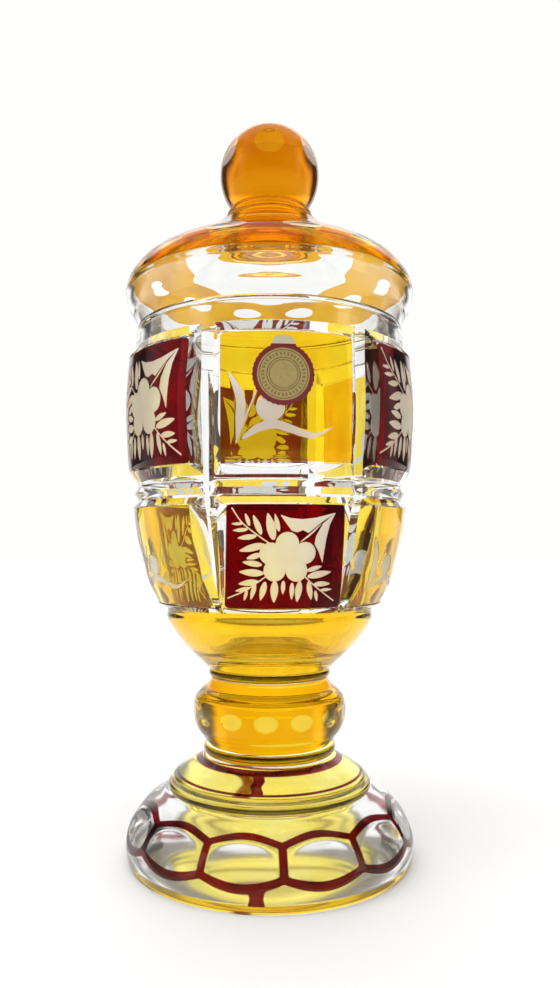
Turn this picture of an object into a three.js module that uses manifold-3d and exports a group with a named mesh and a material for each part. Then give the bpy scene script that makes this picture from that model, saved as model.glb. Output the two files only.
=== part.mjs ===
// Covered vase of cut and stained glass: foot, knop, bowl and lid.
// Units are millimetres, +Z is up, and the origin is under the middle of the foot.
// The front of the vase, with the paper seal, faces -Y.

import * as THREE from 'three';
import { mergeVertices } from 'three/addons/utils/BufferGeometryUtils.js';
import Module from 'manifold-3d';

const wasm = await Module();
wasm.setup();

// Clearances
const JOINT_GAP = 0.3;            // between members that are joined end to end
const PANEL_GAP = 0.3;            // under each coloured panel
const FLANGE_CLEARANCE = 0.6;     // between the lid's flange and the mouth
const LABEL_GAP = 0.25;           // between the paper seal and the panel

// Widest radius of the bowl, at the belly of its upper panels: the wall and the lid are set in from it
const BODY_RADIUS = 58.8;

// Foot
const FOOT_RADIUS = 58.8;
const FOOT_BASE_INSET = 1.2;
const FOOT_LIP_HEIGHT = 6.5;
const FOOT_ARC_WIDTH = 28.8;
const FOOT_ARC_HEIGHT = 22.7;
const FOOT_RESTING_WIDTH = 10.6;
const FOOT_HOLLOW_DEPTH = 4.5;
const FOOT_WINDOW_COUNT = 12;
const FOOT_WINDOW_DEPTH = 1.3;
const FOOT_WINDOW_TURN = 20;      // degrees, puts a web bar at 5 degrees
const FOOT_WINDOW_TILT = 30;      // degrees above level that each window faces
const FOOT_ARC_STEPS = 7;

// Domed step on the foot
const STEP_LEDGE_RADIUS = 41.6;
const STEP_LEDGE_HEIGHT = 3.8;
const STEP_GROOVE_DEPTH = 1.9;
const STEP_DOME_INSET = 2;
const STEP_DOME_HEIGHT = 10.3;
const STEP_TOP_RADIUS = 26.6;

// Merese rings above and below the knop
const LOWER_MERESE_RADIUS = 26.4;
const LOWER_MERESE_HEIGHT = 3.8;
const UPPER_MERESE_RADIUS = 25.0;
const UPPER_MERESE_HEIGHT = 3.0;
const MERESE_ROUNDING = 1.1;

// Knop
const KNOP_BASE_RADIUS = 25.2;
const KNOP_RADIUS = 31.5;
const KNOP_TOP_RADIUS = 24.1;
const KNOP_HEIGHT = 26.8;
const KNOP_WIDEST_HEIGHT = 13.2;
const KNOP_DOT_COUNT = 14;
const KNOP_DOT_DEPTH = 0.32;
const KNOP_DOT_TURN = -2.5;       // degrees

// Bowl. An inset is measured inwards from BODY_RADIUS.
const CUP_BASE_RADIUS = 24.5;
const CUP_INSET = 16.5;
const CUP_HEIGHT = 25.2;
const LEDGE_RISE = 2.4;
const LOWER_PANEL_BASE_INSET = 13.2;
const LOWER_PANEL_TOP_INSET = 3.2;
const LOWER_PANEL_HEIGHT = 37;
const LOWER_CHANNEL_HEIGHT = 5;
const VALLEY_INSET = 5.1;
const RIDGE_HEIGHT = 2.2;
const RIDGE_INSET = 3.7;
const UPPER_CHANNEL_HEIGHT = 7.5;
const UPPER_PANEL_BASE_INSET = 1.5;
const UPPER_PANEL_TOP_INSET = 1.4;
const UPPER_PANEL_HEIGHT = 44.5;
const UPPER_BELLY_SHARE = 0.58;   // height of the belly as a share of the upper panels
const SHOULDER_HEIGHT = 4.5;
const NECK_INSET = 4;
const RIM_HEIGHT = 9.4;
const RIM_INSET = 4.7;
const RIM_ROUNDING = 0.4;
const BOWL_WALL = 5;
const RIM_WALL = 4.6;
const BOWL_FLOOR = 8.5;

// Coloured panels: six columns in two rows, raised above the wall by the channels cut round them
const PANEL_COLUMNS = 6;
const PANEL_TURN = 6.5;           // degrees, azimuth of the front column
const PANEL_DEPTH = 1.5;
const PANEL_RISE = 3.6;
const UPPER_PILLAR_HALF_WIDTH = 6.2;   // from a panel's edge to the line midway between two columns
const LOWER_PILLAR_HALF_WIDTH = 6.8;
const CHANNEL_HALF_WIDTH = 2.5;        // of an upright channel's floor
const CHANNEL_FOOT_HALF_WIDTH = 0.3;   // where the channels of the lower row run together
const LOWER_BEVEL_HEIGHT = 3;
const UPPER_BEVEL_HEIGHT = 4;
const CUT_REACH = 2;                   // of a channel's cutter past the panels' faces, in depths
const CUT_OVERRUN = 5;                 // of a channel's cutter past the ends of its row
const WALL_OVERLAP = 1;                // of the raised panels with the wall behind them

// Paper seal
const LABEL_RADIUS = 10.5;
const LABEL_THICKNESS = 0.25;
const LABEL_TURN = 4.7;           // degrees
const LABEL_DROP = 15;            // from the top of the upper panels to its centre
const LABEL_TAB_WIDTH = 11;
const LABEL_TAB_RISE = 13.4;
const LABEL_TAB_BEVEL = 1;
const LABEL_TAB_SHOULDER_SHARE = 0.4;  // half widths of the tab's top, as shares of its width
const LABEL_TAB_TIP_SHARE = 0.2;

// Lid. An inset is measured inwards from BODY_RADIUS.
const LID_INSET = 0.1;
const LID_WIDEST_HEIGHT = 14;
const LID_SHOULDER_INSET = 6.4;
const LID_SHOULDER_HEIGHT = 11;
const LID_WAIST_INSET = 18.1;
const LID_WAIST_HEIGHT = 5.6;
const LID_TOP_RADIUS = 20.2;
const LID_TOP_HEIGHT = 13.6;
const LID_WALL = 4.2;
const LID_STUB_RADIUS = 16.8;
const LID_STUB_DROP = 11;
const LID_DOT_COUNT = 14;
const LID_DOT_TURN = 1;           // degrees
const LID_DOT_TILT = 52;          // degrees above level that each flat faces
const LID_DOT_DEPTH = 0.35;
const FLANGE_WALL = 3.6;
const FLANGE_HEIGHT = 10;
const FLANGE_CHAMFER = 0.6;

// Collar and finial
const COLLAR_BASE_RADIUS = 19.2;
const COLLAR_RING_RADIUS = 17.4;
const COLLAR_HEIGHT = 6.3;
const FINIAL_RADIUS = 20.8;
const FINIAL_NECK_RADIUS = 15.9;
const FINIAL_FACET_COUNT = 6;
const FINIAL_FACET_RADIUS = 6;
const FINIAL_FACET_TILT = 18;     // degrees above level
const FINIAL_STEPS = 11;

// Curves, as points from [0, 0] to [1, 1]: shares of a form's change of radius and of its height
const HOLLOW_CURVE = [[0, 0], [0.6, 0.15], [1, 1]];
const LEDGE_CURVE = [[0.5, 0], [0, 0.45], [1.2, 1]];
const STEP_DOME_CURVE = [[0, 0.13], [0.25, 0.43], [1, 1]];
const KNOP_LOWER_CURVE = [[0, 0], [0.5, 0.3], [1, 1]];
const KNOP_UPPER_CURVE = [[0.5, 0.62], [1, 1]];
const CUP_CURVE = [[0, 0], [0.48, 0.32], [0.944, 0.74], [1, 1]];
const LOWER_ROW_CURVE = [[0, 0], [0.7, 0.5], [1, 1]];
const LID_FLARE_CURVE = [[0, 0], [0.75, 0.55], [1, 1]];
const LID_CROWN_CURVE = [[0, 0], [2 / 3, 0.62], [1, 1]];

// Inside of the lid: how far each of its stations lies inwards and down, in wall thicknesses
const STUB_FILLET = [1, 0.4];
const WAIST_OFFSET = [0.6, 1];
const SHOULDER_OFFSET = [1, 0.7];
const LIP_OFFSET = [0.8, 1.167];

// Rings of the collar and the rounded edge of a merese
const COLLAR_LOWER_RING = [[0.5, 0], [0, 0.12], [0.3, 0.25]];   // inset in mm, share of the height
const COLLAR_UPPER_RING = [[0.3, 0.5], [0, 0.62], [0.2, 0.75]];
const MERESE_EDGE = [0.3, 0.5];                                 // shares of the rounding

// Fineness of the turned forms
const WIDE_SEGMENTS = 40;
const NARROW_SEGMENTS = 42;

// Radii of the wall and the lid, from the body's
const cupRadius = BODY_RADIUS - CUP_INSET;
const lowerPanelBaseRadius = BODY_RADIUS - LOWER_PANEL_BASE_INSET;
const lowerPanelTopRadius = BODY_RADIUS - LOWER_PANEL_TOP_INSET;
const ridgeRadius = BODY_RADIUS - RIDGE_INSET;
const upperPanelBaseRadius = BODY_RADIUS - UPPER_PANEL_BASE_INSET;
const upperPanelTopRadius = BODY_RADIUS - UPPER_PANEL_TOP_INSET;
const valleyRadius = BODY_RADIUS - VALLEY_INSET;
const neckRadius = BODY_RADIUS - NECK_INSET;
const rimRadius = BODY_RADIUS - RIM_INSET;
const mouthRadius = rimRadius - RIM_WALL;
const lidRadius = BODY_RADIUS - LID_INSET;
const lidShoulderRadius = BODY_RADIUS - LID_SHOULDER_INSET;
const lidWaistRadius = BODY_RADIUS - LID_WAIST_INSET;
const flangeRadius = mouthRadius - FLANGE_CLEARANCE;

// Half widths of the panels, from the space that the columns leave
const columnShare = Math.sin(Math.PI / PANEL_COLUMNS);
const upperHalfWidth = BODY_RADIUS * columnShare - UPPER_PILLAR_HALF_WIDTH;
const lowerHalfWidth = lowerPanelTopRadius * columnShare - LOWER_PILLAR_HALF_WIDTH;

// Levels, from the table upwards
const footArcCentre = FOOT_RADIUS - FOOT_ARC_WIDTH;
const footSeatZ = FOOT_LIP_HEIGHT
  + FOOT_ARC_HEIGHT * Math.sqrt(1 - ((STEP_LEDGE_RADIUS - footArcCentre) / FOOT_ARC_WIDTH) ** 2);
const stepZ = footSeatZ + JOINT_GAP;
const stepTopZ = stepZ + STEP_LEDGE_HEIGHT + STEP_DOME_HEIGHT;
const lowerMereseZ = stepTopZ + JOINT_GAP;
const knopZ = lowerMereseZ + LOWER_MERESE_HEIGHT + JOINT_GAP;
const upperMereseZ = knopZ + KNOP_HEIGHT + JOINT_GAP;
const bowlZ = upperMereseZ + UPPER_MERESE_HEIGHT + JOINT_GAP;
const ledgeZ = bowlZ + CUP_HEIGHT;
const lowerPanelZ = ledgeZ + LEDGE_RISE;
const lowerPanelTopZ = lowerPanelZ + LOWER_PANEL_HEIGHT;
const ridgeZ = lowerPanelTopZ + LOWER_CHANNEL_HEIGHT;
const ridgeTopZ = ridgeZ + RIDGE_HEIGHT;
const upperPanelZ = ridgeTopZ + UPPER_CHANNEL_HEIGHT;
const upperPanelTopZ = upperPanelZ + UPPER_PANEL_HEIGHT;
const neckZ = upperPanelTopZ + SHOULDER_HEIGHT;
const rimZ = neckZ + RIM_HEIGHT;
const cavityFloorZ = bowlZ + BOWL_FLOOR;
const lidZ = rimZ + JOINT_GAP;
const lidWidestZ = lidZ + LID_WIDEST_HEIGHT;
const lidShoulderZ = lidWidestZ + LID_SHOULDER_HEIGHT;
const lidWaistZ = lidShoulderZ + LID_WAIST_HEIGHT;
const lidTopZ = lidWaistZ + LID_TOP_HEIGHT;
const collarZ = lidTopZ + JOINT_GAP;
const finialZ = collarZ + COLLAR_HEIGHT + JOINT_GAP;
const finialCentreZ = finialZ + Math.sqrt(FINIAL_RADIUS ** 2 - FINIAL_NECK_RADIUS ** 2);

// Glass and paper
const clearGlass = () => new THREE.MeshStandardMaterial({ color: 0xe9efe9, roughness: 0.03, metalness: 0 });
const amberGlass = () => new THREE.MeshStandardMaterial({ color: 0xe6a200, roughness: 0.03, metalness: 0 });
const rubyGlass = () => new THREE.MeshStandardMaterial({ color: 0x6d0713, roughness: 0.05, metalness: 0 });
const sealPaper = () => new THREE.MeshStandardMaterial({ color: 0x9c8a3f, roughness: 0.35, metalness: 0.4 });

// Turns an outline of [radius, height] points about Z. An outline runs upwards on its outer side.
function turned(outline, segments) {
  const points = outline.map(([radius, height]) => new THREE.Vector2(radius, height));
  return new THREE.LatheGeometry(points, segments).rotateX(Math.PI / 2);
}

// Smooth curve through [radius, height] stations.
function smooth(stations, divisions) {
  const curve = new THREE.SplineCurve(stations.map(([radius, height]) => new THREE.Vector2(radius, height)));
  return curve.getPoints(divisions).map((point) => [point.x, point.y]);
}

// Points of a curve given as shares, laid between two [radius, height] points.
function between([startRadius, startZ], [endRadius, endZ], shares) {
  const [widening, rise] = [endRadius - startRadius, endZ - startZ];
  return shares.map(([out, up]) => [startRadius + widening * out, startZ + rise * up]);
}

// Closed geometry to a solid, with shared corners merged and empty triangles left out.
function toSolid(geometry) {
  const bare = geometry.clone();
  bare.deleteAttribute('normal');
  bare.deleteAttribute('uv');
  const merged = mergeVertices(bare, 1e-4);
  const corners = merged.index.array;
  const kept = [];
  for (let i = 0; i < corners.length; i += 3) {
    const [a, b, c] = [corners[i], corners[i + 1], corners[i + 2]];
    if (a !== b && b !== c && c !== a) kept.push(a, b, c);
  }
  return new wasm.Manifold(new wasm.Mesh({
    numProp: 3,
    vertProperties: new Float32Array(merged.attributes.position.array),
    triVerts: new Uint32Array(kept),
  }));
}

function toGeometry(solid) {
  const mesh = solid.getMesh();
  const geometry = new THREE.BufferGeometry();
  geometry.setAttribute('position', new THREE.BufferAttribute(mesh.vertProperties, 3));
  geometry.setIndex(new THREE.BufferAttribute(mesh.triVerts, 1));
  const faceted = geometry.toNonIndexed();
  faceted.computeVertexNormals();
  return faceted;
}

const union = (solids) => solids.reduce((whole, next) => whole.add(next));
const radians = THREE.MathUtils.degToRad;

// A cutter whose flat face touches a turned surface at depth under [radius, height],
// facing out at tilt degrees above level, in the direction of turn degrees.
function flatCut(radius, height, depth, tilt, turn, size) {
  const block = new THREE.BoxGeometry(size, size, size);
  block.translate(0, -size / 2, 0);
  block.rotateX(radians(-tilt));
  const out = new THREE.Vector3(0, -Math.cos(radians(tilt)), Math.sin(radians(tilt)));
  block.translate(-out.x * depth, -radius - out.y * depth, height - out.z * depth);
  return toSolid(block.rotateZ(radians(turn)));
}

// Foot: a domed disc with a ground resting ring, a shallow hollow under it and oval flats.
function footDisc() {
  const baseRadius = FOOT_RADIUS - FOOT_BASE_INSET;
  const arc = [];
  const seatAngle = Math.acos((STEP_LEDGE_RADIUS - footArcCentre) / FOOT_ARC_WIDTH);
  for (let i = 0; i <= FOOT_ARC_STEPS; i++) {
    const angle = seatAngle * i / FOOT_ARC_STEPS;
    arc.push([
      footArcCentre + FOOT_ARC_WIDTH * Math.cos(angle),
      FOOT_LIP_HEIGHT + FOOT_ARC_HEIGHT * Math.sin(angle),
    ]);
  }
  const hollowEdge = [baseRadius - FOOT_RESTING_WIDTH, 0];
  const hollow = smooth(between([0, FOOT_HOLLOW_DEPTH], hollowEdge, HOLLOW_CURVE), 4);
  const body = toSolid(turned([
    ...hollow,
    [baseRadius, 0],
    [FOOT_RADIUS, FOOT_LIP_HEIGHT / 4],
    ...arc,
    [0, footSeatZ],
  ], WIDE_SEGMENTS));
  const facing = radians(FOOT_WINDOW_TILT);
  const windowAngle = Math.atan2(FOOT_ARC_HEIGHT * Math.sin(facing), FOOT_ARC_WIDTH * Math.cos(facing));
  const windowRadius = footArcCentre + FOOT_ARC_WIDTH * Math.cos(windowAngle);
  const windowZ = FOOT_LIP_HEIGHT + FOOT_ARC_HEIGHT * Math.sin(windowAngle);
  const windows = [];
  for (let i = 0; i < FOOT_WINDOW_COUNT; i++) {
    const turn = FOOT_WINDOW_TURN + i * 360 / FOOT_WINDOW_COUNT;
    windows.push(flatCut(windowRadius, windowZ, FOOT_WINDOW_DEPTH, FOOT_WINDOW_TILT, turn, FOOT_RADIUS / 2));
  }
  return toGeometry(body.subtract(union(windows)));
}

// Step: a rounded ledge, a fine groove and a low dome.
function footStep() {
  const grooveZ = stepZ + STEP_LEDGE_HEIGHT;
  const domeRadius = STEP_LEDGE_RADIUS - STEP_DOME_INSET;
  const ledge = smooth(between(
    [STEP_LEDGE_RADIUS, stepZ], [STEP_LEDGE_RADIUS - STEP_GROOVE_DEPTH, grooveZ], LEDGE_CURVE), 4);
  const dome = smooth(between([domeRadius, grooveZ], [STEP_TOP_RADIUS, stepTopZ], STEP_DOME_CURVE), 4);
  return turned([[0, stepZ], ...ledge, ...dome, [0, stepTopZ]], WIDE_SEGMENTS);
}

// Merese: a thin button of glass with a rounded edge.
function merese(radius, bottom, height) {
  const rounding = Math.min(MERESE_ROUNDING, height / 2);
  const [inset, rise] = MERESE_EDGE.map((share) => share * rounding);
  return turned([
    [0, bottom],
    [radius - rounding, bottom],
    [radius - inset, bottom + rise],
    [radius, bottom + rounding],
    [radius, bottom + height - rounding],
    [radius - inset, bottom + height - rise],
    [radius - rounding, bottom + height],
    [0, bottom + height],
  ], NARROW_SEGMENTS);
}

// Knop: a squat ball with a belt of round flats.
function knop() {
  const widest = [KNOP_RADIUS, knopZ + KNOP_WIDEST_HEIGHT];
  const side = smooth([
    ...between([KNOP_BASE_RADIUS, knopZ], widest, KNOP_LOWER_CURVE),
    ...between(widest, [KNOP_TOP_RADIUS, knopZ + KNOP_HEIGHT], KNOP_UPPER_CURVE),
  ], 10);
  const body = toSolid(turned([[0, knopZ], ...side, [0, knopZ + KNOP_HEIGHT]], NARROW_SEGMENTS));
  const dots = [];
  for (let i = 0; i < KNOP_DOT_COUNT; i++) {
    const turn = KNOP_DOT_TURN + i * 360 / KNOP_DOT_COUNT;
    dots.push(flatCut(KNOP_RADIUS, knopZ + KNOP_WIDEST_HEIGHT, KNOP_DOT_DEPTH, 0, turn, KNOP_RADIUS / 2));
  }
  return toGeometry(body.subtract(union(dots)));
}

// Outer face of the bowl where the panels are.
const lowerRow = smooth(between(
  [lowerPanelBaseRadius, lowerPanelZ], [lowerPanelTopRadius, lowerPanelTopZ], LOWER_ROW_CURVE), 4);
const upperRow = smooth([
  [upperPanelBaseRadius, upperPanelZ],
  [BODY_RADIUS, upperPanelZ + UPPER_PANEL_HEIGHT * UPPER_BELLY_SHARE],
  [upperPanelTopRadius, upperPanelTopZ],
], 4);

const offset = (row, by) => row.map(([radius, height]) => [radius + by, height]);

// Ring between two offsets of a row's face.
function rowRing(row, inner, outer) {
  const face = offset(row, outer);
  return toSolid(turned([...face, ...offset(row, inner).reverse(), face[0]], WIDE_SEGMENTS));
}

const columnTurns = Array.from({ length: PANEL_COLUMNS }, (_, i) => PANEL_TURN + i * 360 / PANEL_COLUMNS);

// The two rows: face of the panels, heights of the bevels under and over them, and half widths
// of the channels' floors at the foot and head of the row.
const rows = {
  lower: {
    face: lowerRow,
    halfWidth: lowerHalfWidth,
    bevels: [LEDGE_RISE, LOWER_BEVEL_HEIGHT],
    floors: [CHANNEL_FOOT_HALF_WIDTH, CHANNEL_HALF_WIDTH],
  },
  upper: {
    face: upperRow,
    halfWidth: upperHalfWidth,
    bevels: [UPPER_BEVEL_HEIGHT, SHOULDER_HEIGHT],
    floors: [CHANNEL_HALF_WIDTH, CHANNEL_HALF_WIDTH],
  },
};

// Cutter for the upright channel after a column, narrow at the wall and wide at the panels' faces.
function channelCut(row, turn) {
  const { face, halfWidth, floors } = rows[row];
  const corners = [face[0], face[face.length - 1]].flatMap(([radius, height], end) => {
    const away = Math.PI / PANEL_COLUMNS - Math.asin(halfWidth / radius);
    const floor = new THREE.Vector2(radius - PANEL_RISE, floors[end]);
    const lip = new THREE.Vector2(radius * Math.cos(away), radius * Math.sin(away));
    const outside = floor.clone().lerp(lip, CUT_REACH);
    const level = height + (end === 0 ? -CUT_OVERRUN : CUT_OVERRUN);
    return [floor, outside].flatMap(
      ({ x: out, y: across }) => [[across, -out, level], [-across, -out, level]]);
  });
  return wasm.Manifold.hull(corners).rotate([0, 0, turn + 180 / PANEL_COLUMNS]);
}

const channels = (row) => union(columnTurns.map((turn) => channelCut(row, turn)));

// Wedge from the axis outwards that holds one column of panels.
function columnWedge(turn) {
  const reach = BODY_RADIUS * 2;
  const across = reach * Math.tan(Math.PI / PANEL_COLUMNS);
  const corners = [ledgeZ, rimZ].flatMap(
    (level) => [[0, 0, level], [across, -reach, level], [-across, -reach, level]]);
  return wasm.Manifold.hull(corners).rotate([0, 0, turn]);
}

function panel(row, turn) {
  const skin = rowRing(rows[row].face, PANEL_GAP - PANEL_DEPTH, 0);
  return toGeometry(skin.intersect(columnWedge(turn)).subtract(channels(row)));
}

// Raised glass under a row of panels, with bevels above and below.
function raisedRow(row) {
  const { face, bevels } = rows[row];
  const seat = offset(face, -PANEL_DEPTH);
  const root = offset(face, -PANEL_RISE - WALL_OVERLAP);
  const start = [root[0][0], root[0][1] - bevels[0]];
  const end = root[root.length - 1];
  const ring = toSolid(turned([
    start, ...seat, [end[0], end[1] + bevels[1]], ...root.reverse(), start,
  ], WIDE_SEGMENTS));
  return ring.subtract(channels(row));
}

// Bowl: solid cup, ledge, wall with two rows of raised panels, shoulder and plain rim.
function bowl() {
  const cup = smooth(between([CUP_BASE_RADIUS, bowlZ], [cupRadius, ledgeZ], CUP_CURVE), 6);
  const outside = [
    ...cup,
    ...offset(lowerRow, -PANEL_RISE),
    [valleyRadius, (lowerPanelTopZ + ridgeZ) / 2],
    [ridgeRadius, ridgeZ],
    [ridgeRadius, ridgeTopZ],
    [valleyRadius, (ridgeTopZ + upperPanelZ - UPPER_BEVEL_HEIGHT) / 2],
    ...offset(upperRow, -PANEL_RISE),
    [neckRadius, neckZ],
    [rimRadius, rimZ - RIM_ROUNDING],
    [rimRadius - RIM_ROUNDING, rimZ],
  ];
  const inside = [
    [mouthRadius + RIM_ROUNDING, rimZ],
    [mouthRadius, rimZ - RIM_ROUNDING],
    [neckRadius - BOWL_WALL, neckZ],
    ...smooth([
      [upperPanelTopRadius - PANEL_RISE - BOWL_WALL, upperPanelTopZ],
      [BODY_RADIUS - PANEL_RISE - BOWL_WALL, (upperPanelTopZ + upperPanelZ) / 2],
      [valleyRadius - BOWL_WALL, ridgeZ],
      [lowerPanelBaseRadius - PANEL_RISE - BOWL_WALL, lowerPanelZ],
      [CUP_BASE_RADIUS, (cavityFloorZ + lowerPanelZ) / 2],
      [0, cavityFloorZ],
    ], 10),
  ];
  const body = toSolid(turned([[0, bowlZ], ...outside, ...inside], WIDE_SEGMENTS));
  return toGeometry(body.add(raisedRow('lower')).add(raisedRow('upper')));
}

// Paper seal: a thin round paper with a small tab, curved to the front panel.
function label() {
  const centreZ = upperPanelTopZ - LABEL_DROP;
  const paper = rowRing(upperRow, LABEL_GAP, LABEL_GAP + LABEL_THICKNESS);
  const outline = new THREE.Shape();
  const tabAngle = Math.asin(LABEL_TAB_WIDTH / 2 / LABEL_RADIUS);
  const tabTopZ = centreZ + LABEL_TAB_RISE;
  const shoulder = LABEL_TAB_WIDTH * LABEL_TAB_SHOULDER_SHARE;
  const tip = LABEL_TAB_WIDTH * LABEL_TAB_TIP_SHARE;
  outline.absarc(0, centreZ, LABEL_RADIUS, Math.PI / 2 + tabAngle, Math.PI * 2.5 - tabAngle, false);
  outline.lineTo(shoulder, tabTopZ - LABEL_TAB_BEVEL);
  outline.lineTo(tip, tabTopZ);
  outline.lineTo(-tip, tabTopZ);
  outline.lineTo(-shoulder, tabTopZ - LABEL_TAB_BEVEL);
  const block = new THREE.ExtrudeGeometry(outline, {
    depth: BODY_RADIUS, bevelEnabled: false, curveSegments: 14,
  });
  block.translate(0, 0, BODY_RADIUS / 2);
  return toGeometry(paper.intersect(toSolid(block.rotateX(Math.PI / 2).rotateZ(radians(LABEL_TURN)))));
}

// Flange: the plain ring under the lid that drops into the mouth.
function lidFlange() {
  const inner = flangeRadius - FLANGE_WALL;
  const top = lidZ - JOINT_GAP;
  const bottom = top - FLANGE_HEIGHT;
  return turned([
    [inner, bottom + FLANGE_CHAMFER],
    [inner + FLANGE_CHAMFER, bottom],
    [flangeRadius - FLANGE_CHAMFER, bottom],
    [flangeRadius, bottom + FLANGE_CHAMFER],
    [flangeRadius, top],
    [inner, top],
    [inner, bottom + FLANGE_CHAMFER],
  ], WIDE_SEGMENTS);
}

// Dome of the lid: wider than the mouth, with a low shoulder, a waist and oval flats.
function lidDome() {
  const outside = smooth([
    ...between([rimRadius - RIM_ROUNDING, lidZ], [lidRadius, lidWidestZ], LID_FLARE_CURVE),
    [lidShoulderRadius, lidShoulderZ],
    ...between([lidWaistRadius, lidWaistZ], [LID_TOP_RADIUS, lidTopZ], LID_CROWN_CURVE),
  ], 12);
  const stubZ = lidTopZ - LID_STUB_DROP;
  const lipRadius = flangeRadius - FLANGE_WALL;
  const [stub, waist, shoulder, lip] = [STUB_FILLET, WAIST_OFFSET, SHOULDER_OFFSET, LIP_OFFSET].map(
    (offset) => offset.map((walls) => walls * LID_WALL));
  const inside = smooth([
    [LID_STUB_RADIUS + stub[0], stubZ + stub[1]],
    [lidWaistRadius - waist[0], lidWaistZ - waist[1]],
    [lidShoulderRadius - shoulder[0], lidShoulderZ - shoulder[1]],
    [lidRadius - LID_WALL, lidWidestZ],
    [lipRadius + lip[0], lidZ + lip[1]],
    [lipRadius, lidZ],
  ], 8);
  const body = toSolid(turned([
    [0, stubZ],
    [LID_STUB_RADIUS, stubZ],
    ...inside,
    ...outside,
    [0, lidTopZ],
  ], WIDE_SEGMENTS));
  const dots = [];
  for (let i = 0; i < LID_DOT_COUNT; i++) {
    const turn = LID_DOT_TURN + i * 360 / LID_DOT_COUNT;
    dots.push(flatCut(lidShoulderRadius, lidShoulderZ, LID_DOT_DEPTH, LID_DOT_TILT, turn, LID_TOP_RADIUS));
  }
  return toGeometry(body.subtract(union(dots)));
}

// Collar: two stacked rings between the dome and the finial.
function lidCollar() {
  const top = collarZ + COLLAR_HEIGHT;
  const ring = (radius, outline) => outline.map(
    ([inset, up]) => [radius - inset, collarZ + COLLAR_HEIGHT * up]);
  return turned([
    [0, collarZ],
    ...ring(COLLAR_BASE_RADIUS, COLLAR_LOWER_RING),
    ...ring(COLLAR_RING_RADIUS, COLLAR_UPPER_RING),
    [FINIAL_NECK_RADIUS, top],
    [0, top],
  ], NARROW_SEGMENTS);
}

// Finial: a solid ball on a flat seat, with round flats about its upper half.
function finialBall() {
  const seatAngle = Math.asin(FINIAL_NECK_RADIUS / FINIAL_RADIUS);
  const ball = [];
  for (let i = 0; i <= FINIAL_STEPS; i++) {
    const angle = seatAngle + (Math.PI - seatAngle) * i / FINIAL_STEPS;
    ball.push([FINIAL_RADIUS * Math.sin(angle), finialCentreZ - FINIAL_RADIUS * Math.cos(angle)]);
  }
  ball[FINIAL_STEPS][0] = 0;
  const body = toSolid(turned([[0, finialZ], ...ball], NARROW_SEGMENTS));
  const facing = radians(FINIAL_FACET_TILT);
  const depth = FINIAL_RADIUS - Math.sqrt(FINIAL_RADIUS ** 2 - FINIAL_FACET_RADIUS ** 2);
  const facets = [];
  for (let i = 0; i < FINIAL_FACET_COUNT; i++) {
    facets.push(flatCut(
      FINIAL_RADIUS * Math.cos(facing), finialCentreZ + FINIAL_RADIUS * Math.sin(facing),
      depth, FINIAL_FACET_TILT, i * 360 / FINIAL_FACET_COUNT, FINIAL_RADIUS));
  }
  return toGeometry(body.subtract(union(facets)));
}

const vase = new THREE.Group();
const lid = new THREE.Group();

function place(group, name, geometry, material) {
  const mesh = new THREE.Mesh(geometry, material);
  mesh.name = name;
  group.add(mesh);
}

place(vase, 'foot_disc', footDisc(), clearGlass());
place(vase, 'foot_step', footStep(), amberGlass());
place(vase, 'lower_merese', merese(LOWER_MERESE_RADIUS, lowerMereseZ, LOWER_MERESE_HEIGHT), amberGlass());
place(vase, 'knop', knop(), amberGlass());
place(vase, 'upper_merese', merese(UPPER_MERESE_RADIUS, upperMereseZ, UPPER_MERESE_HEIGHT), amberGlass());
place(vase, 'bowl', bowl(), clearGlass());
columnTurns.forEach((turn, i) => {
  const upperIsAmber = i % 2 === 0;
  place(vase, `upper_panel_${i + 1}`, panel('upper', turn), upperIsAmber ? amberGlass() : rubyGlass());
  place(vase, `lower_panel_${i + 1}`, panel('lower', turn), upperIsAmber ? rubyGlass() : amberGlass());
});
place(vase, 'paper_seal', label(), sealPaper());
place(lid, 'lid_flange', lidFlange(), clearGlass());
place(lid, 'lid_dome', lidDome(), amberGlass());
place(lid, 'lid_collar', lidCollar(), amberGlass());
place(lid, 'finial_ball', finialBall(), amberGlass());

const coveredVase = new THREE.Group();
coveredVase.add(vase, lid);

export default coveredVase;
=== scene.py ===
# %% [markdown]
# # A covered vase of cut and stained glass
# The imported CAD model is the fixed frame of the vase: it says where every member starts and ends.
# Each member gets a finer glass piece here, in the same place, and the CAD node steps aside for it.
# Inside this file a length is in millimetres until it goes into a mesh, which is in metres.

import bpy
import numpy as np
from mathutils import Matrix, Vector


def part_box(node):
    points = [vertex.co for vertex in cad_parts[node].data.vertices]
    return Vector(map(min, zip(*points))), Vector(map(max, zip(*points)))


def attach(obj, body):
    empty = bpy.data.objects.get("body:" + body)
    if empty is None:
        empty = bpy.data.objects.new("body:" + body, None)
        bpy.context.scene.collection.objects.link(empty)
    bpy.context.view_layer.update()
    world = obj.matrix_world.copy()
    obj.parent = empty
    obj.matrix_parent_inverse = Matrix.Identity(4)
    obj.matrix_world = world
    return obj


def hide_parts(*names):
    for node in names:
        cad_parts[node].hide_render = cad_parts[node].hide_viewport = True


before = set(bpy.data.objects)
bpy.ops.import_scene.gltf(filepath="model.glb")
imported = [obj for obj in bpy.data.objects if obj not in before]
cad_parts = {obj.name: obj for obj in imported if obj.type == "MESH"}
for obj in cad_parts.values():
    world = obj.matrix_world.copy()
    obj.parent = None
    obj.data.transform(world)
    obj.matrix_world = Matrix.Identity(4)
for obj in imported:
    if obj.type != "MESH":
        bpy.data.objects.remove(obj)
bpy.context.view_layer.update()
scene = bpy.context.scene


def add_object(name, data):
    """A new object in the scene, around a mesh, a lamp or a camera."""
    made = bpy.data.objects.new(name, data)
    scene.collection.objects.link(made)
    return made


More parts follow.
